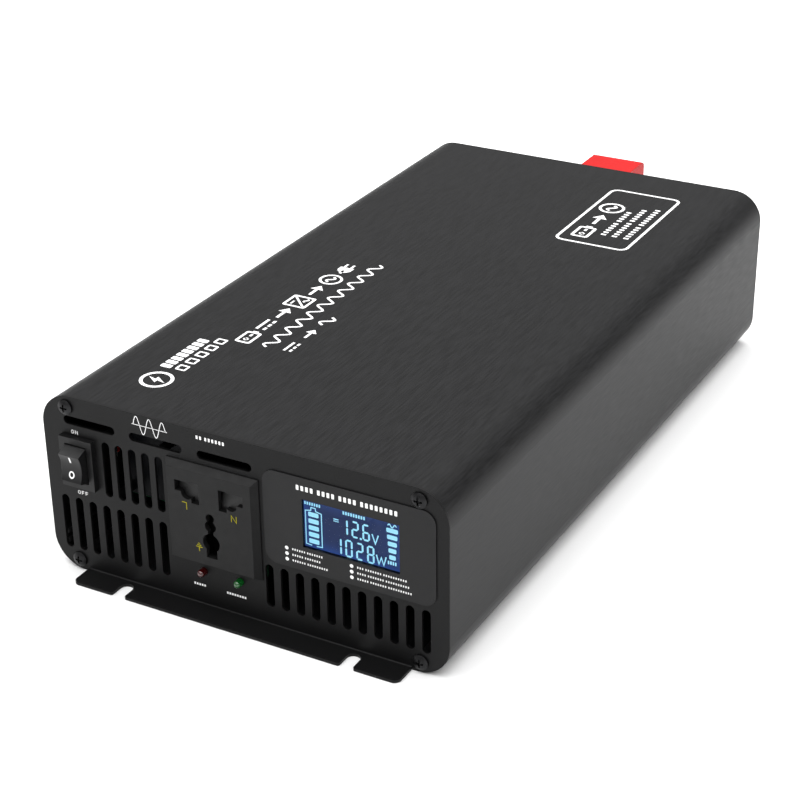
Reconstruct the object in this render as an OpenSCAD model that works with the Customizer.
// Power inverter: a black extruded sleeve closed by two flanged sheet-metal panels.
// Millimetres. X runs across the body, Y from the front panel to the rear one, Z up.
// The origin is the centre of the sleeve's bottom face.

/* [Body] */
// Width of the sleeve
body_w = 173; // [172:0.5:180]
// Length of the body over both end panels
body_l = 314.5; // [312:0.5:330]
// Height of the sleeve
body_h = 75.5; // [75:0.5:80]
// Outer radius of the sleeve's four long edges
edge_r = 13.5; // [13:0.5:14]
// Wall thickness of the sleeve
wall_t = 2; // [1.8:0.1:2.2]
// Thickness of the end panels' sheet
sheet_t = 1.2; // [1:0.1:1.4]

/* [Mounting flanges] */
// Width of each flange
flange_w = 142.6; // [136:0.2:146]
// How far each flange stands out of its panel
flange_d = 10.6; // [10:0.1:14]
// Radius of the flange's outer corners
flange_corner_r = 2.7; // [1:0.1:4]
// Distance between the two screw notches of one flange
notch_spacing = 100; // [90:1:110]
// Width of a screw notch
notch_w = 5.6; // [5:0.1:6]
// Distance from the panel's face to the round end of a notch
notch_end = 2.3; // [2:0.1:3]
// Radius at the mouth of a notch
notch_mouth_r = 1; // [0.5:0.1:1.5]

/* [Panel screws] */
// Distance of each panel screw from the body's centre plane
screw_x = 75; // [74.5:0.1:75.5]
// Height of the lower panel screws
screw_low_z = 4.5; // [4.4:0.1:4.8]
// Distance of the upper panel screws from the top face
screw_top_inset = 4.7; // [4.4:0.1:4.8]
// Radius of the pan head
screw_head_r = 3.1; // [2.8:0.1:3.3]
// Height of the pan head
screw_head_h = 1.7; // [1.6:0.1:2]
// Radius of the screw's shank
screw_r = 1.5; // [1.4:0.05:1.5]

/* [Air slots] */
// Width of every air slot
slot_w = 3.5; // [3:0.1:3.8]
// Length of the slots along the top
top_slot_l = 23.4; // [20:0.2:25]
// Distance between the top slots
top_slot_pitch = 30; // [28:0.5:31]
// Place of the first top slot across the panel
top_slot_x = -64.8; // [-66:0.2:-64]
// Height of the top slots above the bottom face
top_slot_z = 65.5; // [64:0.5:66]
// Distance between the slots of the lower rows
low_slot_pitch = 6.48; // [6:0.02:6.5]
// Length of the slots in the lower left row
left_slot_l = 23.4; // [20:0.2:24]
// Place of the first slot of the lower left row
left_slot_x = -79.4; // [-79.6:0.1:-79]
// Height of the lower left row's middle
left_slot_z = 20.45; // [20.05:0.2:21.05]
// Length of the slots in the lower right row
right_slot_l = 18.2; // [16:0.2:19]
// Place of the first slot of the lower right row
right_slot_x = 12.5; // [12:0.1:13]
// Height of the lower right row's middle
right_slot_z = 17.85; // [17.05:0.2:18.05]
// Length of the slots beside the switch
side_slot_l = 23.4; // [20:0.2:24]
// Distance between the slots beside the switch
side_slot_pitch = 6; // [5.5:0.1:6.2]
// Place of the first slot beside the switch
side_slot_x = -58; // [-58.5:0.1:-57.5]
// Height of the middle of the slots beside the switch
side_slot_z = 48.15; // [47.55:0.2:48.55]

/* [Switch] */
// Place of the switch across the panel
switch_x = -70.5; // [-70.8:0.1:-70]
// Height of the switch above the bottom face
switch_z = 48.7; // [48:0.1:50]
// Width of the bezel
bezel_w = 15; // [14:0.1:15.5]
// Height of the bezel
bezel_h = 21; // [20:0.1:22]
// How far the bezel stands out of the panel
bezel_t = 2.3; // [2:0.1:2.5]
// Width of the rocker
rocker_w = 9.3; // [8.8:0.1:9.3]

/* [Outlet] */
// Place of the outlet across the panel
outlet_x = -10.2; // [-11:0.1:-9.5]
// Height of the outlet's centre above the bottom face
outlet_z = 40.5; // [40:0.1:41]
// Width of the outlet's faceplate
outlet_w = 39.9; // [39.5:0.1:40.3]
// Height of the outlet's faceplate
outlet_h = 42.1; // [41:0.1:43]
// Height of the upright lip around the faceplate
outlet_lip = 0.5; // [0.4:0.1:1]
// Height of the faceplate's bevel
outlet_rise = 2.8; // [2.5:0.1:3]
// Width of the faceplate's bevel
outlet_bevel = 1.9; // [1.5:0.1:2.2]

/* [Display] */
// Left edge of the display overlay
overlay_x0 = 11.5; // [11.2:0.1:11.8]
// Right edge of the display overlay
overlay_x1 = 81.5; // [80.5:0.1:82]
// Lower edge of the display overlay
overlay_z0 = 29.05; // [28.5:0.05:30]
// Upper edge of the display overlay
overlay_z1 = 67.4; // [66:0.1:68]
// Thickness of the overlay
overlay_t = 0.5; // [0.4:0.1:0.8]
// Corner radius of the overlay
overlay_r = 5.2; // [4:0.1:6]
// Width of the display window
window_w = 39.4; // [38:0.1:40]
// Height of the display window
window_h = 19.8; // [19:0.1:20]
// Place of the display window's centre across the panel
window_x = 47.5; // [47:0.1:48]
// Height of the display window's centre
window_z = 48.9; // [48.5:0.05:49.2]

/* [Lamps] */
// Place of the fault lamp across the panel
fault_x = -16.7; // [-18:0.1:-16]
// Place of the running lamp across the panel
running_x = -0.65; // [-1.5:0.05:0]
// Height of both lamps above the bottom face
lamp_z = 15.7; // [15:0.1:16]
// Radius of a lamp
lamp_r = 1.5; // [1.4:0.1:1.6]
// How far a lamp stands out of the panel
lamp_out = 3.4; // [2.5:0.1:4]

/* [Fans] */
// Side of a fan's square frame
fan_size = 60; // [60:1:60]
// Depth of a fan
fan_depth = 25; // [25:1:25]
// Distance of each fan's axis from the body's centre plane
fan_x = 46; // [46:0.5:47]
// Distance between a fan's screw holes
fan_hole_pitch = 50; // [50:1:50]
// Number of blades
blade_count = 7; // [5:1:9]

/* [DC terminals] */
// Height of the positive terminal
positive_z = 55; // [54:0.5:55]
// Height of the negative terminal
negative_z = 24; // [23.5:0.5:25]
// Radius of a terminal stud
stud_r = 4; // [3.5:0.5:4]
// Width of a terminal cover
cover_w = 26; // [25:0.1:26.5]
// Height of a terminal cover
cover_h = 26; // [25:0.5:27]
// How far the covers stand out of the rear panel
cover_out = 37; // [35:0.5:40]
// Wall thickness of a terminal cover
cover_t = 1.8; // [1.6:0.1:2]
// Radius of a terminal cover's upper and lower back edges
cover_back_r = 3; // [2:0.5:3]

/* [Circuit] */
// Thickness of the circuit boards
board_t = 1.6; // [1.6:0.1:1.6]
// Height of the main board's underside
board_z = 12; // [11.5:0.5:12]
// Distance of the main board's front edge from the front panel
board_front_gap = 40; // [38:1:45]
// Length of the two heat sinks
sink_l = 190; // [180:5:200]

/* [Hidden] */
$fn = 64;

mid_z = body_h / 2;
front_y = -body_l / 2;
front_in = front_y + sheet_t;
rear_y = body_l / 2;
rear_in = rear_y - sheet_t;
// Gap on each side between pieces that are fastened together but only slipped in
slip = 0.15;
// Radial gap of a shaft or a screw in its hole
running = 0.05;
// A small overlap that joins shapes of one piece
bite = 0.5;

screw_places = [for (x = [-screw_x, screw_x], z = [screw_low_z, body_h - screw_top_inset]) [x, z]];
screw_length = 13;
// Screw channels along the sleeve's corners and the rails that carry the main board
channel_r = 2.55;
rail_reach = 4;
rail_t = 2;
rail_slot = board_t + 2 * slip;

top_slot_count = 3;
side_slot_count = 5;
left_slot_count = 8;
right_slot_count = 11;

outlet_face = outlet_lip + outlet_rise;
outlet_skin = 2.2;
outlet_body_w = 35.8;
outlet_body_h = 37.8;
outlet_body_t = 1.6;
outlet_back = front_y + 25;
pocket_y = front_y - outlet_face + outlet_skin;
carrier_y = front_y + 5.2;
carrier_t = 1.6;
// Live and neutral sit either side of the centre, above it; earth is below it
line_x = 10;
line_z = 10.1;
earth_z = -7;
round_pin_spacing = 19;
round_pin_r = 2.6;
flat_pin = [7.2, 4.4];
blade_pin = [3.4, 8.6];

shutter_w = 11.4;
shutter_in = 3.8;
shutter_low = 5;
shutter_high = 15.2;
shutter_top = 17;
spring_r = 1.9;
spring_wire = 0.35;
spring_turns = 9;
spring_x = 9.6;
pocket_floor = -outlet_body_h / 2 + outlet_body_t;
shutter_y0 = pocket_y + 0.35;
shutter_y1 = carrier_y - 0.35;

pivot_in = 2;
pivot_y = front_y - bezel_t + pivot_in;
rocker_r = 7.6;
rocker_gap = 0.3;
trunnion_r = 1.2;
trunnion_l = 1.2;
switch_depth = 14;
switch_body_w = bezel_w - 2.1;
switch_body_h = bezel_h - 2.1;
terminal_reach = 8;

stud_reach = 21;
cover_y = rear_y + 2.8;
block_w = 28;
block_plate_t = 2.5;
block_inner_h = 56;
collar_gap = 0.35;

board_top = board_z + board_t;
board_y0 = front_in + board_front_gap;
board_y1 = rear_in - fan_depth - 2;
sink_y0 = -95;
sink_y1 = sink_y0 + sink_l;
sink_x = 66;
sink_top = 60;

// ---------- Shared shapes ----------

// A 2D outline in X and Z, drawn out from y0 to y1
module along_y(y0, y1) {
    translate([0, y1, 0])
        rotate([90, 0, 0])
            linear_extrude(y1 - y0)
                children();
}

// A 2D outline in Y and Z, drawn out from x0 to x1
module along_x(x0, x1) {
    translate([x0, 0, 0])
        rotate([90, 0, 90])
            linear_extrude(x1 - x0)
                children();
}

// A box between two corners
module block(low, high) {
    translate(low)
        cube(high - low);
}

// A round bar along Y
module rod_y(x, z, y0, y1, r) {
    translate([x, y1, z])
        rotate([90, 0, 0])
            cylinder(h = y1 - y0, r = r);
}

// A round bar along X
module rod_x(x0, x1, y, z, r) {
    translate([x0, y, z])
        rotate([0, 90, 0])
            cylinder(h = x1 - x0, r = r);
}

// A rectangle with round corners, centred
module rounded(w, h, r) {
    square([w - 2 * r, h], center = true);
    square([w, h - 2 * r], center = true);
    for (x = [-w / 2 + r, w / 2 - r], y = [-h / 2 + r, h / 2 - r])
        translate([x, y])
            circle(r);
}

// A block whose four sides lean in as it rises
module frustum(w, h, inset, rise) {
    x = w / 2;
    y = h / 2;
    polyhedron(
        [[-x, -y, 0], [x, -y, 0], [x, y, 0], [-x, y, 0],
         [inset - x, inset - y, rise], [x - inset, inset - y, rise],
         [x - inset, y - inset, rise], [inset - x, y - inset, rise]],
        [[0, 1, 2, 3], [4, 7, 6, 5], [0, 4, 5, 1], [1, 5, 6, 2], [2, 6, 7, 3], [3, 7, 4, 0]]);
}

// A slot with round ends, centred
module upright_slot(w, h) {
    square([w, h - w], center = true);
    for (s = [-1, 1])
        translate([0, s * (h - w) / 2])
            circle(w / 2);
}

module level_slot(w, h) {
    rotate(90)
        upright_slot(h, w);
}

// A domed screw head with a cross recess, its seat at z = 0, pointing up
module pan_head(r, h, recess_l, recess_w) {
    dome_r = 1.7 * r;
    difference() {
        intersection() {
            cylinder(h = h, r = r);
            translate([0, 0, h - dome_r])
                sphere(dome_r);
        }
        for (turn = [0, 90])
            rotate(turn)
                translate([0, 0, h])
                    cube([recess_l, recess_w, h * 1.2], center = true);
    }
}

// A pan-head screw, its seat at z = 0, head up and shank down
module pan_screw(head_r, head_h, shank_r, shank_l) {
    pan_head(head_r, head_h, 1.05 * head_r, 0.25 * head_r);
    translate([0, 0, -shank_l])
        cylinder(h = shank_l + bite, r = shank_r);
}

// Turns a piece that points up so that it points out of the front panel, at x, z
module out_of_front(x, z, y = front_y) {
    translate([x, y, z])
        rotate([90, 0, 0])
            children();
}

// The same for the rear panel
module out_of_rear(x, z, y = rear_y) {
    translate([x, y, z])
        rotate([-90, 0, 0])
            children();
}

// Points along a smooth curve through a list of points
function curve_point(a, b, c, d, t) =
    0.5 * (2 * b + (c - a) * t + (2 * a - 5 * b + 4 * c - d) * t * t
        + (3 * b - a - 3 * c + d) * t * t * t);
function curve(points, steps) = let (last = len(points) - 1) [
    for (i = [0 : last - 1], s = [0 : steps - 1])
        curve_point(points[max(i - 1, 0)], points[i], points[i + 1],
            points[min(i + 2, last)], s / steps),
    points[last]
];

// A tube of radius r along a path, as one closed solid with flat ends
module tube(path, r, sides) {
    last = len(path) - 1;
    dirs = [for (i = [0 : last])
        let (v = path[min(i + 1, last)] - path[max(i - 1, 0)]) v / norm(v)];
    // One fixed side vector keeps the rings from twisting
    lean = [0.31, 0.22, 0.92];
    rights = [for (d = dirs) let (v = cross(d, lean)) v / norm(v)];
    ups = [for (i = [0 : last]) cross(rights[i], dirs[i])];
    points = [for (i = [0 : last], j = [0 : sides - 1])
        path[i] + r * (cos(360 * j / sides) * rights[i] + sin(360 * j / sides) * ups[i])];
    sidewalls = [for (i = [0 : last - 1], j = [0 : sides - 1])
        let (a = i * sides + j, b = i * sides + (j + 1) % sides)
            each [[a, b, b + sides], [a, b + sides, a + sides]]];
    first_cap = [[for (j = [sides - 1 : -1 : 0]) j]];
    last_cap = [[for (j = [0 : sides - 1]) last * sides + j]];
    polyhedron(points, concat(sidewalls, first_cap, last_cap));
}

// ---------- Enclosure ----------

module body_outline(inset = 0) {
    translate([0, mid_z])
        rounded(body_w - 2 * inset, body_h - 2 * inset, edge_r - inset);
}

module sleeve_section() {
    difference() {
        union() {
            difference() {
                body_outline();
                body_outline(wall_t);
            }
            for (p = screw_places) {
                translate(p)
                    circle(channel_r);
                // Web that ties the channel to the nearer wall
                web_end = p[1] < mid_z ? wall_t / 2 : body_h - wall_t / 2;
                translate([p[0], (p[1] + web_end) / 2])
                    square([channel_r, abs(p[1] - web_end)], center = true);
            }
            for (side = [-1, 1], z = [board_z - slip - rail_t, board_z - slip + rail_slot])
                translate([side * (body_w / 2 - wall_t - rail_reach / 2 + bite / 2), z + rail_t / 2])
                    square([rail_reach + bite, rail_t], center = true);
        }
        for (p = screw_places)
            translate(p)
                circle(screw_r + running);
    }
}

module housing_sleeve() {
    color("#303030")
        along_y(front_in, rear_in)
            sleeve_section();
}

// The bent-out foot of a panel, drawn for the front one
module flange() {
    outer_y = front_y - flange_d;
    notch_y = front_y - notch_end - notch_w / 2;
    linear_extrude(sheet_t)
        difference() {
            union() {
                translate([-flange_w / 2, outer_y + flange_corner_r])
                    square([flange_w, flange_d - flange_corner_r + sheet_t / 2]);
                translate([-flange_w / 2 + flange_corner_r, outer_y])
                    square([flange_w - 2 * flange_corner_r, 2 * flange_corner_r]);
                for (side = [-1, 1])
                    translate([side * (flange_w / 2 - flange_corner_r), outer_y + flange_corner_r])
                        circle(flange_corner_r);
            }
            for (side = [-1, 1])
                translate([side * notch_spacing / 2, 0]) {
                    translate([0, notch_y])
                        circle(notch_w / 2);
                    translate([-notch_w / 2, outer_y - bite])
                        square([notch_w, notch_y - outer_y + bite]);
                    for (edge = [-1, 1])
                        difference() {
                            translate([edge * (notch_w + notch_mouth_r) / 2, outer_y])
                                square([notch_mouth_r, 2 * notch_mouth_r], center = true);
                            translate([edge * (notch_w / 2 + notch_mouth_r), outer_y + notch_mouth_r])
                                circle(notch_mouth_r);
                        }
                }
        }
    // Rounded inner corner of the bend
    along_x(-flange_w / 2, flange_w / 2)
        difference() {
            translate([front_y - sheet_t / 2, sheet_t / 2])
                square(sheet_t);
            translate([front_y - sheet_t / 2, sheet_t * 3 / 2])
                circle(sheet_t / 2);
        }
}

module panel_screw_holes() {
    for (p = screw_places)
        translate(p)
            circle(screw_r + 0.3);
}

module front_openings() {
    panel_screw_holes();
    for (i = [0 : top_slot_count - 1])
        translate([top_slot_x + i * top_slot_pitch, top_slot_z])
            level_slot(top_slot_l, slot_w);
    for (i = [0 : side_slot_count - 1])
        translate([side_slot_x + i * side_slot_pitch, side_slot_z])
            upright_slot(slot_w, side_slot_l);
    for (i = [0 : left_slot_count - 1])
        translate([left_slot_x + i * low_slot_pitch, left_slot_z])
            upright_slot(slot_w, left_slot_l);
    for (i = [0 : right_slot_count - 1])
        translate([right_slot_x + i * low_slot_pitch, right_slot_z])
            upright_slot(slot_w, right_slot_l);
    translate([switch_x, switch_z])
        square([switch_body_w, switch_body_h] + [2, 2] * slip, center = true);
    translate([outlet_x, outlet_z])
        square([outlet_body_w, outlet_body_h] + [2, 2] * slip, center = true);
    translate([window_x, window_z])
        square([window_w, window_h] + [2, 2] * slip, center = true);
    for (x = [fault_x, running_x])
        translate([x, lamp_z])
            circle(lamp_r + slip);
}

display_standoff_l = 5;
display_board_w = 62;
display_board_h = 32;
display_board_y = front_in + display_standoff_l;
display_fixings = [for (x = [-28, 28], z = [-13, 13]) [window_x + x, window_z + z]];
// Places on the display board, from the window's centre
display_socket = [-22, -8];

control_standoff_l = 14;
control_y = front_in + control_standoff_l;
control_centre = [-46, 50];
control_w = 32;
control_h = 38;
control_socket = [6.5, -9];
// Depth of the ribbon's two sockets
display_socket_t = 5;
control_socket_t = 8;
// The control board's fixings sit in the plain strips above and below the slots beside the switch
control_fixings = [for (x = [-12, 12], z = [-15.7, 11.8]) control_centre + [x, z]];
standoff_r = 1.85;
standoff_bore = 1.1;

module standoffs(places, length) {
    along_y(front_in - sheet_t / 4, front_in + length)
        for (p = places)
            translate(p)
                difference() {
                    circle(standoff_r);
                    circle(standoff_bore);
                }
}

module front_panel() {
    color("#2e2e2f") {
        along_y(front_y, front_in)
            difference() {
                body_outline();
                front_openings();
            }
        flange();
        // Pressed-in standoffs that hold the display board and the control board
        standoffs(display_fixings, display_standoff_l);
        standoffs(control_fixings, control_standoff_l);
    }
}

module rear_panel() {
    color("#2e2e2f") {
        along_y(rear_in, rear_y)
            difference() {
                body_outline();
                panel_screw_holes();
                for (side = [-1, 1])
                    translate([side * fan_x, mid_z]) {
                        circle(duct_r - 0.4);
                        for (x = [-1, 1], z = [-1, 1])
                            translate([x, z] * fan_hole_pitch / 2)
                                circle(fan_hole_r);
                    }
                translate([0, (positive_z + negative_z) / 2])
                    rounded(block_w - 4 + 2 * slip, block_inner_h + 2 * slip, 2);
            }
        mirror([0, 1, 0])
            flange();
    }
}

module panel_screw() {
    pan_screw(screw_head_r, screw_head_h, screw_r, screw_length);
}

module front_panel_screws() {
    color("#3c3c3e")
        for (p = screw_places)
            out_of_front(p[0], p[1])
                panel_screw();
}

module rear_panel_screws() {
    color("#3c3c3e")
        for (p = screw_places)
            out_of_rear(p[0], p[1])
                panel_screw();
}

// ---------- Display ----------

// A part on an upright board's rear face: its place and size on the board, and how tall it stands
module board_part(place, size, height) {
    along_y(-slip, height)
        translate(place)
            square(size, center = true);
}

module display_overlay() {
    color("#404044")
        along_y(front_y - overlay_t, front_y)
            difference() {
                translate([(overlay_x0 + overlay_x1) / 2, (overlay_z0 + overlay_z1) / 2])
                    rounded(overlay_x1 - overlay_x0, overlay_z1 - overlay_z0, overlay_r);
                translate([window_x, window_z])
                    square([window_w, window_h], center = true);
            }
}

glass_front = front_y - overlay_t + 0.15;
glass_t = 1.1;

module lcd_glass() {
    color("#8fa8d8", 0.35)
        along_y(glass_front, glass_front + glass_t)
            translate([window_x, window_z])
                square([window_w - 2 * slip, window_h - 2 * slip], center = true);
}

backlight_y = front_in + 0.3;
backlight_t = 3.2;

module lcd_backlight() {
    color("#3b57b4")
        along_y(backlight_y, backlight_y + backlight_t)
            translate([window_x, window_z])
                rounded(window_w + 5, window_h + 2.4, 1);
}

module display_board() {
    color("#1d3a24") {
        along_y(display_board_y, display_board_y + board_t)
            difference() {
                translate([window_x, window_z])
                    rounded(display_board_w, display_board_h, 2);
                for (p = display_fixings)
                    translate(p)
                        circle(standoff_bore + slip);
            }
        // Controller, crystal, two small chips and the ribbon's socket
        translate([window_x, display_board_y + board_t, window_z]) {
            board_part([-8, 2], [12, 12], 1.6);
            board_part([6, 4], [5, 8], 2.4);
            board_part([16, -3], [6, 6], 1.2);
            board_part([2, -7], [9, 3.5], 1.2);
            board_part(display_socket, [6, 10], display_socket_t);
        }
    }
}

module board_screw() {
    pan_screw(2.2, 1.5, standoff_bore - running, 4.2);
}

module board_screws() {
    color("silver") {
        for (p = display_fixings)
            out_of_rear(p[0], p[1], display_board_y + board_t)
                board_screw();
        for (p = control_fixings)
            out_of_rear(p[0], p[1], control_y + board_t)
                board_screw();
    }
}

// ---------- Switch ----------

module at_switch() {
    translate([switch_x, 0, switch_z])
        children();
}

terminal_z = [-6, 0, 6];

// A wedge on a moulding's top edge that locks it behind the panel, drawn for the upper side
module snap_ear(z, w) {
    catch_y = front_in + slip;
    tail_y = front_in + 5;
    along_x(-w / 2, w / 2)
        polygon([[catch_y, z - bite], [catch_y, z + 1], [tail_y, z], [tail_y, z - bite]]);
}

module switch_housing() {
    opening_w = rocker_w + 2 * rocker_gap;
    opening_h = 2 * rocker_r + 2 * rocker_gap;
    color("#202021")
        at_switch()
            difference() {
                union() {
                    along_y(front_y - bezel_t, front_y)
                        square([bezel_w, bezel_h], center = true);
                    along_y(front_y - bite, front_y + switch_depth)
                        square([switch_body_w, switch_body_h], center = true);
                    for (turn = [0, 1])
                        mirror([0, 0, turn])
                            snap_ear(switch_body_h / 2, 6);
                }
                along_y(front_y - bezel_t - bite, front_y + switch_depth - 2)
                    square([opening_w, opening_h], center = true);
                // Blind holes that carry the rocker's trunnions
                rod_x(-rocker_w / 2 - trunnion_l - 0.3, rocker_w / 2 + trunnion_l + 0.3, pivot_y, 0,
                    trunnion_r + running);
                for (z = terminal_z)
                    block([-0.5, front_y + switch_depth - 3, z - 2.5],
                        [0.5, front_y + switch_depth + bite, z + 2.5]);
            }
}

// Side view of the rocker: first number outward from the pivot, second number up
module rocker_side() {
    ridge = [6.6, 5.5];
    foot = [6.3, -5.8];
    sagitta = 1.3;
    chord = norm(ridge - foot);
    face_r = (chord * chord / 4 + sagitta * sagitta) / (2 * sagitta);
    outward = [ridge[1] - foot[1], foot[0] - ridge[0]] / chord;
    face_centre = (ridge + foot) / 2 + (face_r - sagitta) * outward;
    difference() {
        union() {
            intersection() {
                circle(rocker_r);
                translate([-5, -rocker_r])
                    square([7.2, 2 * rocker_r]);
            }
            polygon([[0, 7.2], [pivot_in, 7.25], ridge, foot, [pivot_in, -7.3], [0, -7.3]]);
        }
        translate(face_centre)
            circle(face_r);
        // Hollow back of the moulding
        translate([-5.5, 0])
            square([5, 9], center = true);
    }
}

module switch_rocker() {
    color("#29292a")
        at_switch() {
            translate([-rocker_w / 2, pivot_y, 0])
                mirror([0, 1, 0])
                    along_x(0, rocker_w)
                        rocker_side();
            rod_x(-rocker_w / 2 - trunnion_l, rocker_w / 2 + trunnion_l, pivot_y, 0, trunnion_r);
        }
}

module switch_terminals() {
    color("silver")
        at_switch()
            for (z = terminal_z)
                difference() {
                    block([-0.4, front_y + switch_depth - 1, z - 2.4],
                        [0.4, front_y + switch_depth + terminal_reach, z + 2.4]);
                    rod_x(-1, 1, front_y + switch_depth + 5, z, 0.8);
                }
}

// ---------- Outlet ----------

module at_outlet() {
    translate([outlet_x, 0, outlet_z])
        children();
}

// Openings for live and neutral: flat pin, round pin and upright blade in one, drawn for the right side
module line_hole(grow = 0) {
    translate([line_x + 1.2, line_z + 1.8])
        square(flat_pin + [1, 1] * grow, center = true);
    translate([round_pin_spacing / 2, line_z - 0.6])
        circle(round_pin_r + grow / 2);
    translate([line_x - 4, line_z])
        square(blade_pin + [1, 1] * grow, center = true);
}

// Opening for earth: a large round pin with an upright blade below, and smaller round pins above
module earth_hole(grow = 0) {
    translate([0, earth_z - 5])
        square([4.65, 7.4] + [1, 1] * grow, center = true);
    translate([0, earth_z + 3.6])
        square([2.4 + grow, 8], center = true);
    for (pin = [[-2.1, 3.7], [4.8, 2.4], [8.3, 1.8]])
        translate([0, earth_z + pin[0]])
            circle(pin[1] + grow / 2);
}

module pin_holes(grow = 0) {
    line_hole(grow);
    mirror([1, 0])
        line_hole(grow);
    earth_hole(grow);
}

module outlet_faceplate() {
    color("#363637")
        at_outlet()
            difference() {
                union() {
                    along_y(front_y - outlet_lip, front_y)
                        square([outlet_w, outlet_h], center = true);
                    translate([0, front_y - outlet_lip, 0])
                        rotate([90, 0, 0])
                            frustum(outlet_w, outlet_h, outlet_bevel, outlet_rise);
                }
                along_y(pocket_y, front_y + bite)
                    square([outlet_body_w + 0.1, outlet_body_h + 0.1], center = true);
                along_y(front_y - outlet_face - bite, front_y)
                    pin_holes();
            }
}

module outlet_body() {
    color("#2a2a2b")
        at_outlet()
            difference() {
                union() {
                    along_y(pocket_y, outlet_back)
                        square([outlet_body_w, outlet_body_h], center = true);
                    for (turn = [0, 1])
                        mirror([0, 0, turn])
                            snap_ear(outlet_body_h / 2, 10);
                }
                // Room in front of the contact carrier, where the shutter slides
                along_y(pocket_y - bite, carrier_y)
                    square([outlet_body_w, outlet_body_h] - [2, 2] * outlet_body_t, center = true);
                along_y(carrier_y - bite, carrier_y + carrier_t + bite)
                    pin_holes(0.4);
                // Chambers for the three contacts
                for (side = [-1, 1])
                    along_y(carrier_y + carrier_t, outlet_back - 2)
                        translate([side * line_x, line_z])
                            square([11.6, 11], center = true);
                along_y(carrier_y + carrier_t, outlet_back - 2)
                    translate([0, earth_z])
                        square([9, 20.4], center = true);
                // Slots for the contacts' tabs
                for (p = [[-line_x, line_z], [line_x, line_z], [0, earth_z]])
                    along_y(outlet_back - 3, outlet_back + bite)
                        translate(p)
                            square([1.1, 6.6], center = true);
            }
}

module outlet_shutter() {
    slope = 2.4;
    depth = shutter_y1 - shutter_y0;
    color("#6c6c6e")
        at_outlet() {
            for (side = [-1, 1])
                mirror([side < 0 ? 1 : 0, 0, 0])
                    along_x(shutter_in, shutter_in + shutter_w)
                        polygon([
                            [shutter_y0, shutter_low],
                            [shutter_y1, shutter_low],
                            [shutter_y1, shutter_high + bite],
                            [shutter_y0 + slope, shutter_high + bite],
                            [shutter_y0, shutter_low + 2]
                        ]);
            block([-shutter_in - shutter_w, shutter_y0 + slope, shutter_high],
                [shutter_in + shutter_w, shutter_y1, shutter_top]);
        }
}

// A coil spring standing on the pocket's floor under each wing of the shutter
module shutter_springs() {
    y = (shutter_y0 + shutter_y1) / 2;
    low = pocket_floor + spring_wire;
    high = shutter_low - spring_wire;
    turn_steps = 12;
    steps = spring_turns * turn_steps;
    color("silver")
        at_outlet()
            for (side = [-1, 1])
                tube([for (i = [0 : steps])
                    [side * spring_x + spring_r * cos(360 * i / turn_steps),
                     y + spring_r * sin(360 * i / turn_steps),
                     low + (high - low) * i / steps]], spring_wire, 6);
}

tab_end = outlet_back + 7;
line_gap = 8.4;
earth_gap = 5.6;

// Two spring leaves joined at the back, with a tab out of the outlet's rear
module contact(gap, leaf_h, length) {
    leaf_t = 0.6;
    back = outlet_back - 2.4;
    for (side = [-1, 1])
        block([side < 0 ? -gap / 2 - leaf_t : gap / 2, back - length, -leaf_h / 2],
            [side < 0 ? -gap / 2 : gap / 2 + leaf_t, back, leaf_h / 2]);
    block([-gap / 2 - leaf_t, back - leaf_t, -leaf_h / 2], [gap / 2 + leaf_t, back, leaf_h / 2]);
    block([-0.4, back - leaf_t, -3.1], [0.4, tab_end, 3.1]);
}

module live_contact() {
    color("#c9a24a")
        at_outlet()
            translate([-line_x, 0, line_z])
                contact(line_gap, 8, 13);
}

module neutral_contact() {
    color("#c9a24a")
        at_outlet()
            translate([line_x, 0, line_z])
                contact(line_gap, 8, 13);
}

module earth_contact() {
    color("#c9a24a")
        at_outlet()
            translate([0, 0, earth_z])
                contact(earth_gap, 17, 13);
}

// ---------- Lamps ----------

lamp_board_y = front_in + 9;

lamp_rim = 1.4;
lamp_legs = [-0.7, 0.7];
lamp_leg_r = 0.25;

module lamp() {
    dome_y = front_y - lamp_out + lamp_r;
    rod_y(0, 0, dome_y, front_in + lamp_rim, lamp_r);
    translate([0, dome_y, 0])
        sphere(lamp_r);
    rod_y(0, 0, front_in + slip, front_in + lamp_rim, lamp_r + 0.4);
    for (x = lamp_legs)
        rod_y(x, 0, front_in + lamp_rim - bite, lamp_board_y + board_t + 1, lamp_leg_r);
}

module fault_lamp() {
    color("#8c1f1c")
        translate([fault_x, 0, lamp_z])
            lamp();
}

module running_lamp() {
    color("#1c9440")
        translate([running_x, 0, lamp_z])
            lamp();
}

module lamp_board() {
    color("#1d3a24")
        along_y(lamp_board_y, lamp_board_y + board_t)
            difference() {
                // The lower corner leaves room for the main board's edge
                translate([(fault_x + running_x) / 2, lamp_z])
                    rounded(26, 6.5, 1);
                for (x = [fault_x, running_x], leg = lamp_legs)
                    translate([x + leg, lamp_z])
                        circle(lamp_leg_r + 0.1);
            }
}

// ---------- Fans ----------

duct_r = 28.4;
fan_hole_r = 2.2;
hub_r = 15.5;
hub_wall = 1.8;
bearing_r = 4;
shaft_r = 1.5;
guard_wire = 0.8;
guard_t = 1.6;
fan_plate = 4;
carrier_disc = 3;
rotor_gap = 0.6;
rotor_depth = 18;

// Places a fan built from its exhaust face inward along +Z
module at_fan(side) {
    translate([side * fan_x, rear_in, mid_z])
        rotate([90, 0, 0])
            children();
}

module fan_holes(r, depth) {
    for (x = [-1, 1], y = [-1, 1])
        translate([x * fan_hole_pitch / 2, y * fan_hole_pitch / 2, -bite])
            cylinder(h = depth + 2 * bite, r = r);
}

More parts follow.
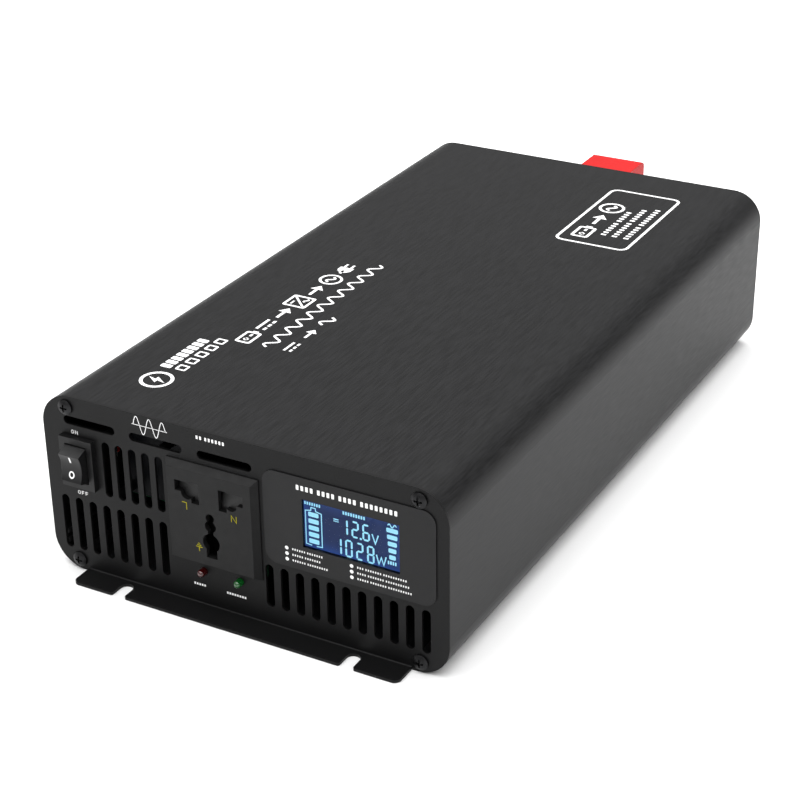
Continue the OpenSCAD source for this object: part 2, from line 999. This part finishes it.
module fan_frame() {
    color("#1b1b1c") {
        difference() {
            union() {
                for (z = [0, fan_depth - fan_plate])
                    translate([0, 0, z])
                        linear_extrude(fan_plate)
                            rounded(fan_size, fan_size, 3);
                cylinder(h = fan_depth, r = fan_size / 2 - 0.4);
            }
            translate([0, 0, -bite])
                cylinder(h = fan_depth + 2 * bite, r = duct_r);
            fan_holes(fan_hole_r, fan_depth);
        }
        // Motor carrier, its four spokes and the bearing tube
        difference() {
            union() {
                cylinder(h = carrier_disc, r = hub_r);
                for (a = [45 : 90 : 315])
                    rotate(a)
                        translate([hub_r - 1, -1.4, 0])
                            cube([duct_r - hub_r + 1.4, 2.8, carrier_disc]);
                cylinder(h = 15, r = bearing_r);
            }
            translate([0, 0, 1])
                cylinder(h = 20, r = shaft_r + running);
        }
    }
}

module left_fan_frame() {
    at_fan(-1)
        fan_frame();
}

module right_fan_frame() {
    at_fan(1)
        fan_frame();
}

module fan_rotor() {
    low = carrier_disc + rotor_gap;
    high = low + rotor_depth;
    color("#232325") {
        difference() {
            translate([0, 0, low])
                cylinder(h = rotor_depth, r = hub_r);
            translate([0, 0, low - bite])
                cylinder(h = rotor_depth - 2 + bite, r = hub_r - hub_wall);
        }
        translate([0, 0, 2])
            cylinder(h = high - 3, r = shaft_r);
        intersection() {
            difference() {
                translate([0, 0, low + 1.5])
                    cylinder(h = rotor_depth - 3, r = duct_r - 1);
                cylinder(h = fan_depth, r = hub_r - 1);
            }
            for (i = [0 : blade_count - 1])
                rotate(360 / blade_count * i)
                    translate([(hub_r + duct_r) / 2, 0, low + rotor_depth / 2])
                        rotate([48, 0, 0])
                            cube([duct_r - hub_r + 4, 1.3, rotor_depth + 4], center = true);
        }
    }
}

module left_fan_rotor() {
    at_fan(-1)
        fan_rotor();
}

module right_fan_rotor() {
    at_fan(1)
        fan_rotor();
}

module fan_stators() {
    color("#a8622c")
        for (side = [-1, 1])
            at_fan(side)
                translate([0, 0, carrier_disc + 1])
                    linear_extrude(10)
                        difference() {
                            circle(11.5);
                            circle(bearing_r + slip);
                            for (a = [0 : 90 : 270])
                                rotate(a)
                                    translate([6.5, -1])
                                        square([6, 2]);
                        }
}

// Concentric rings on four arms that end in screw eyes
module fan_guard() {
    rings = [9, 15, 21, 27];
    eye = fan_hole_pitch / sqrt(2);
    translate([0, 0, -sheet_t - guard_t])
        linear_extrude(guard_t)
            difference() {
                union() {
                    for (r = rings)
                        difference() {
                            circle(r + guard_wire);
                            circle(r - guard_wire);
                        }
                    for (a = [45 : 90 : 315])
                        rotate(a) {
                            translate([rings[0], -guard_wire])
                                square([eye - rings[0], 2 * guard_wire]);
                            translate([eye, 0])
                                circle(4);
                        }
                }
                for (a = [45 : 90 : 315])
                    rotate(a)
                        translate([eye, 0])
                            circle(fan_hole_r);
            }
}

module fan_guards() {
    color("#8d8d90")
        for (side = [-1, 1])
            at_fan(side)
                fan_guard();
}

module fan_screws() {
    seat = sheet_t + guard_t;
    color("#3c3c3e")
        for (side = [-1, 1], x = [-1, 1], z = [-1, 1])
            out_of_rear(side * fan_x + x * fan_hole_pitch / 2, mid_z + z * fan_hole_pitch / 2,
                rear_in + seat)
                pan_screw(3.6, 2.4, 1.95, 20);
}

// ---------- DC terminals ----------

plate_y = rear_y + block_plate_t;
terminals = [positive_z, negative_z];
busbar_t = 2;
stud_head_y = rear_in - 15;
busbar_y = stud_head_y - busbar_t;
nut_t = 6.5;

module terminal_block() {
    block_z = (positive_z + negative_z) / 2;
    inner_w = cover_w - 2 * cover_t - 2 * collar_gap;
    inner_h = cover_h - 2 * cover_t - 2 * collar_gap;
    color("#1c1c1d")
        difference() {
            union() {
                along_y(rear_y, plate_y)
                    translate([0, block_z])
                        rounded(block_w, block_inner_h + 4.4, 3);
                along_y(rear_in - 9, rear_y + bite)
                    translate([0, block_z])
                        rounded(block_w - 4, block_inner_h, 1.8);
                for (z = terminals)
                    along_y(rear_y, plate_y + 5)
                        translate([0, z])
                            rounded(inner_w, inner_h, 1.5);
            }
            for (z = terminals) {
                rod_y(0, z, rear_in - 10, plate_y + bite, stud_r + 0.5 + running);
                // The well that the washer and nut sit in
                along_y(plate_y, plate_y + 6)
                    translate([0, z])
                        rounded(inner_w - 3, inner_h - 3, 1);
            }
        }
}

// Stepped stud: inner thread, square head, smooth root in the block, outer thread, relief groove, free end
module stud(z) {
    root_end = plate_y + 0.2;
    nut_face = plate_y + 9.4;
    rod_y(0, z, busbar_y - 8.5, stud_head_y + bite, stud_r);
    along_y(stud_head_y, rear_in - 9.3)
        translate([0, z])
            square([12, 12], center = true);
    rod_y(0, z, rear_in - 10, root_end, stud_r + 0.5);
    rod_y(0, z, root_end - bite, nut_face, stud_r);
    rod_y(0, z, nut_face - bite, nut_face + 1, stud_r - 0.5);
    rod_y(0, z, nut_face + 0.6, plate_y + stud_reach, stud_r);
}

module positive_stud() {
    color("#c9a24a")
        stud(positive_z);
}

module negative_stud() {
    color("#c9a24a")
        stud(negative_z);
}

module terminal_washers() {
    color("silver")
        for (z = terminals)
            along_y(plate_y + 0.3, plate_y + 1.9)
                translate([0, z])
                    difference() {
                        circle(8);
                        circle(stud_r + 0.2);
                    }
}

module terminal_nuts() {
    color("silver")
        for (z = terminals, y = [plate_y + 2.3, busbar_y - 0.3 - nut_t])
            along_y(y, y + nut_t)
                translate([0, z])
                    difference() {
                        circle(7.5, $fn = 6);
                        circle(stud_r + running);
                    }
}

// A boxy cover, open towards the panel, with rounded back edges and a cable hole in its end
module terminal_cover(z) {
    end_y = rear_y + cover_out;
    round_y = end_y - cover_back_r;
    straight_h = cover_h - 2 * cover_back_r;
    translate([0, 0, z])
        difference() {
            union() {
                along_y(cover_y, round_y)
                    square([cover_w, cover_h], center = true);
                along_y(round_y - bite, end_y)
                    square([cover_w, straight_h], center = true);
                for (s = [-1, 1])
                    rod_x(-cover_w / 2, cover_w / 2, round_y, s * straight_h / 2, cover_back_r);
            }
            along_y(cover_y - bite, end_y - cover_t)
                rounded(cover_w - 2 * cover_t, cover_h - 2 * cover_t, 1);
            rod_y(0, 0, end_y - 2 * cover_t, end_y + bite, 7);
        }
}

module positive_cover() {
    color("#ff3c3c")
        terminal_cover(positive_z);
}

module negative_cover() {
    color("#1e1e1f")
        terminal_cover(negative_z);
}

// ---------- Circuit ----------

module main_board() {
    half = body_w / 2 - wall_t - 0.6;
    color("#1f4a2b") {
        difference() {
            block([-half, board_y0, board_z], [half, board_y1, board_top]);
            for (side = [-1, 1], y = [board_y0 + 8, board_y1 - 8])
                translate([side * (half - 10), y, board_z - bite])
                    cylinder(h = board_t + 2 * bite, r = 1.7);
        }
        // Snubber resistors and small drivers along the middle
        for (i = [0 : 6])
            block([-4, -10 + i * 9, board_top - slip], [4, -6 + i * 9, board_top + 2.2]);
    }
}

busbar_foot_y = board_y1 - 16;

// A copper strip that runs from a stud to the board and turns forward on it
module positive_busbar() {
    color("#b87333")
        difference() {
            union() {
                block([-14, busbar_y, positive_z - 6], [6, stud_head_y, positive_z + 6]);
                block([-14, busbar_y, board_top], [-8, stud_head_y, positive_z]);
                block([-14, busbar_foot_y, board_top], [-8, stud_head_y, board_top + busbar_t]);
            }
            rod_y(0, positive_z, busbar_y - bite, stud_head_y + bite, stud_r + 0.2);
        }
}

module negative_busbar() {
    color("#b87333")
        difference() {
            union() {
                block([-6, busbar_y, board_top], [6, stud_head_y, negative_z + 6]);
                block([-6, busbar_foot_y, board_top], [6, stud_head_y, board_top + busbar_t]);
            }
            rod_y(0, negative_z, busbar_y - bite, stud_head_y + bite, stud_r + 0.2);
        }
}

// An electrolytic capacitor standing at z = 0, with the groove near its foot and a scored top
module capacitor(r, h) {
    rotate_extrude()
        polygon([
            [0, 0], [r, 0], [r, 0.1 * h], [0.95 * r, 0.12 * h], [0.95 * r, 0.14 * h],
            [r, 0.16 * h], [r, h - 0.6], [r - 0.6, h], [0.85 * r, h], [0.85 * r, h - 0.5], [0, h - 0.5]
        ]);
}

module input_capacitors() {
    color("#2b3550")
        for (x = [-45 : 18 : 45])
            translate([x, 92, board_top])
                capacitor(8, 32);
}

module blade_fuses() {
    color("#d8791c")
        for (x = [20 : 9 : 56])
            translate([x, 115, board_top]) {
                block([-2.3, -9.5, 5], [2.3, 9.5, 12]);
                block([-2, -7.5, 12 - bite], [2, 7.5, 16]);
                for (y = [-6.5, 3])
                    block([-0.4, y, 0], [0.4, y + 3.5, 5 + bite]);
            }
}

transformer_x = 24;
transformer_y = 38;
core_w = 42;
core_d = 20;
leg_w = 12;

module at_transformers() {
    for (side = [-1, 1])
        translate([side * transformer_x, transformer_y, board_top + 3])
            children();
}

module transformer_cores() {
    window_w = (core_w - 2 * leg_w) / 2;
    color("#3a3b3d")
        at_transformers()
            difference() {
                block([-core_w / 2, -core_d / 2, 0], [core_w / 2, core_d / 2, core_w]);
                for (side = [-1, 1])
                    translate([side * (leg_w / 2 + window_w / 2), 0, core_w / 2])
                        cube([window_w, core_d + 1, core_w - leg_w], center = true);
            }
}

bobbin_t = 1;
bobbin_gap = 0.3;

module transformer_bobbins() {
    x = leg_w / 2 + bobbin_gap;
    y = core_d / 2 + bobbin_gap;
    low = leg_w / 2 + bobbin_gap;
    high = core_w - low;
    color("#26221f")
        at_transformers() {
            difference() {
                union() {
                    block([-x - bobbin_t, -y - bobbin_t, low], [x + bobbin_t, y + bobbin_t, high]);
                    for (z = [low, high - bobbin_t])
                        block([-x - 8.2, -y - 8, z], [x + 8.2, y + 8, z + bobbin_t]);
                }
                block([-x, -y, low - bite], [x, y, high + bite]);
            }
            // Pins down to the board
            for (side = [-1, 1], px = [-12 : 6 : 12])
                translate([px, side * (y + 6.4), -3])
                    cylinder(h = low + 3 + bite, r = 0.5);
        }
}

module transformer_windings() {
    x = leg_w / 2 + bobbin_gap + bobbin_t + 0.1;
    y = core_d / 2 + bobbin_gap + bobbin_t + 0.1;
    low = leg_w / 2 + bobbin_gap + bobbin_t + 0.2;
    high = core_w - low;
    grow = 6.4;
    color("#d9a520")
        at_transformers()
            difference() {
                translate([0, 0, low])
                    linear_extrude(high - low)
                        rounded(2 * (x + grow), 2 * (y + grow), 5);
                block([-x, -y, low - bite], [x, y, high + bite]);
            }
}

fin_count = 8;
fin_reach = 11;
fin_t = 1.6;
sink_t = 4;

module heatsink() {
    pitch = (sink_top - board_top - 6) / (fin_count - 1);
    color("#9a9c9e")
        along_y(sink_y0, sink_y1) {
            translate([sink_x, board_top])
                square([sink_t, sink_top - board_top]);
            for (i = [0 : fin_count - 1])
                translate([sink_x + sink_t - bite, board_top + 4 + i * pitch])
                    square([fin_reach + bite, fin_t]);
        }
}

module left_heatsink() {
    mirror([1, 0, 0])
        heatsink();
}

module right_heatsink() {
    heatsink();
}

transistor_w = 16;
transistor_t = 4.8;
transistor_pitch = 22;
transistor_places = [for (i = [0 : 7]) sink_y0 + 19 + i * transistor_pitch];
clamp_screw_places = [for (i = [0 : 6]) transistor_places[i] + transistor_pitch / 2];
clamp_screw_r = 1.5;
clamp_z = board_top + 18;
bar_t = 1.5;
bar_x = sink_x - transistor_t - bar_t;
bar_half = 5;
bar_inset = 8;

// Power transistors standing against the right heat sink
module transistor_row() {
    body_z = board_top + 6;
    leg_x = sink_x - 3;
    color("#1a1a1b")
        for (y = transistor_places)
            translate([0, y, 0]) {
                block([sink_x - transistor_t, -transistor_w / 2, body_z],
                    [sink_x, transistor_w / 2, board_top + 27]);
                for (leg = [-5.4, 0, 5.4])
                    block([leg_x, leg - 0.6, board_top], [leg_x + 0.7, leg + 0.6, body_z + bite]);
            }
}

module input_transistors() {
    mirror([1, 0, 0])
        transistor_row();
}

module output_transistors() {
    transistor_row();
}

module clamp_bars() {
    color("#b8babc")
        for (side = [0, 1])
            mirror([side, 0, 0])
                difference() {
                    union() {
                        block([bar_x, sink_y0 + bar_inset, clamp_z - bar_half],
                            [bar_x + bar_t, sink_y1 - bar_inset, clamp_z + bar_half]);
                        block([bar_x, sink_y0 + bar_inset, clamp_z + bar_half - 1],
                            [sink_x - 3, sink_y1 - bar_inset, clamp_z + bar_half]);
                    }
                    for (y = clamp_screw_places)
                        rod_x(bar_x - bite, sink_x, y, clamp_z, clamp_screw_r + 0.2);
                    // Notches in the upper lip, over the transistors
                    for (y = transistor_places)
                        block([bar_x + bar_t, y - transistor_w / 2 - 0.2, clamp_z - 2],
                            [sink_x, y + transistor_w / 2 + 0.2, clamp_z + bar_half + 1]);
                }
}

module clamp_screws() {
    color("silver")
        for (side = [0, 1])
            mirror([side, 0, 0])
                for (y = clamp_screw_places)
                    translate([bar_x, y, clamp_z])
                        rotate([0, -90, 0])
                            pan_screw(2.8, 1.8, clamp_screw_r, sink_x - bar_x);
}

module bus_capacitors() {
    color("#20262c")
        for (x = [-20, 20])
            translate([x, -28, board_top])
                capacitor(15, 45);
}

inductor_x = 0;
inductor_y = -78;
inductor_r = 17;
inductor_z = board_top + 9;

module at_inductor() {
    translate([inductor_x, inductor_y, inductor_z])
        children();
}

module inductor_core() {
    color("#4c6e4a")
        at_inductor()
            rotate_extrude()
                translate([inductor_r, 0])
                    rounded(11, 13, 3);
}

// Enamelled wire turns around the ring
module inductor_winding() {
    turns = 18;
    color("#b5541c")
        at_inductor()
            for (i = [0 : turns - 1])
                rotate(20 + i * 320 / (turns - 1))
                    translate([inductor_r, 0, 0])
                        rotate([90, 0, 0])
                            linear_extrude(1.5, center = true)
                                difference() {
                                    rounded(14, 16, 4);
                                    rounded(11.4, 13.4, 3.1);
                                }
}

// An upright board behind the slots beside the switch
module control_board() {
    color("#2c2e31") {
        along_y(control_y, control_y + board_t)
            difference() {
                translate(control_centre)
                    rounded(control_w, control_h, 1.5);
                for (p = control_fixings)
                    translate(p)
                        circle(standoff_bore + slip);
            }
        // Two controllers, a driver and the ribbon's socket
        translate([control_centre[0], control_y + board_t, control_centre[1]]) {
            board_part([-4, 10], [8, 10], 2);
            board_part([4, 6], [7, 12], 2);
            board_part([-8, -4], [10, 7], 3.5);
            board_part(control_socket, [11, 8], control_socket_t);
        }
    }
}

// ---------- Leads held inside ----------

lead_steps = 5;

module lead(points, r) {
    tube(curve(points, lead_steps), r, 8);
}

// Gap between a lead's end and what it is soldered to
lead_gap = 0.25;

// Three leads from the outlet's tabs to the front edge of the main board
module outlet_leads() {
    y = tab_end + lead_gap;
    foot_y = board_y0 + 6;
    // Each row: where a lead starts, across and up, and where it meets the board
    ends = [
        [outlet_x - line_x, outlet_z + line_z, -22],
        [outlet_x + line_x, outlet_z + line_z, 14],
        [outlet_x, outlet_z + earth_z, -4]
    ];
    color("#7c3b22")
        for (e = ends)
            lead([
                [e[0], y, e[1]], [e[0], y + 5, e[1]],
                [(e[0] + e[2]) / 2, y + 9, e[1] - 5],
                [e[2], foot_y - 3, board_top + 12], [e[2], foot_y, board_top + 5],
                [e[2], foot_y, board_top + lead_gap]
            ], 1.3);
}

module switch_leads() {
    y = front_y + switch_depth + terminal_reach + 2 * lead_gap;
    foot_y = board_y0 + 5;
    color("#8a1f1f")
        for (i = [0, 1]) {
            start_z = switch_z - 6 * i;
            foot_x = -60 + 6 * i;
            lead([
                [switch_x, y, start_z], [switch_x, y + 5, start_z],
                [switch_x + 4 + 4 * i, y + 11, start_z - 12 - 2 * i],
                [foot_x, foot_y - 3, board_top + 10], [foot_x, foot_y, board_top + 4],
                [foot_x, foot_y, board_top + lead_gap]
            ], 1);
        }
}

module fan_leads() {
    y = rear_in - fan_depth;
    color("#a01d1d")
        for (side = [-1, 1], i = [0, 1])
            translate([side * (fan_x - 26 + 2.4 * i), y, 0])
                lead([
                    [0, -lead_gap, mid_z + 24], [0, -2.4, mid_z + 22], [0, -4, mid_z + 10],
                    [0, -4, board_top + 8], [0, -4, board_top + lead_gap]
                ], 0.7);
}

// A flat cable on edge, from the display board round the outlet to the control board
module display_ribbon() {
    half_t = 0.45;
    path = curve([
        [window_x + display_socket[0], display_board_y + board_t + display_socket_t + lead_gap],
        [window_x - 24, front_y + 20], [window_x - 34, front_y + 31],
        [outlet_x, front_y + 35], [outlet_x - 16, front_y + 31],
        [control_centre[0] + control_socket[0] + 1.5, control_y + board_t + control_socket_t + 0.8]
    ], lead_steps);
    last = len(path) - 1;
    normals = [for (i = [0 : last])
        let (v = path[min(i + 1, last)] - path[max(i - 1, 0)]) [-v[1], v[0]] / norm(v)];
    ribbon_w = 6.6;
    color("#bfc2c6")
        translate([0, 0, window_z + display_socket[1] - ribbon_w / 2])
            linear_extrude(ribbon_w)
                polygon(concat(
                    [for (i = [0 : last]) path[i] + half_t * normals[i]],
                    [for (i = [last : -1 : 0]) path[i] - half_t * normals[i]]));
}

housing_sleeve();
front_panel();
rear_panel();
front_panel_screws();
rear_panel_screws();
display_overlay();
lcd_glass();
lcd_backlight();
display_board();
board_screws();
switch_housing();
switch_rocker();
switch_terminals();
outlet_faceplate();
outlet_body();
outlet_shutter();
shutter_springs();
live_contact();
neutral_contact();
earth_contact();
fault_lamp();
running_lamp();
lamp_board();
left_fan_frame();
right_fan_frame();
left_fan_rotor();
right_fan_rotor();
fan_stators();
fan_guards();
fan_screws();
terminal_block();
positive_stud();
negative_stud();
terminal_washers();
terminal_nuts();
positive_cover();
negative_cover();
main_board();
positive_busbar();
negative_busbar();
input_capacitors();
blade_fuses();
transformer_cores();
transformer_bobbins();
transformer_windings();
left_heatsink();
right_heatsink();
input_transistors();
output_transistors();
clamp_bars();
clamp_screws();
bus_capacitors();
inductor_core();
inductor_winding();
control_board();
outlet_leads();
switch_leads();
fan_leads();
display_ribbon();
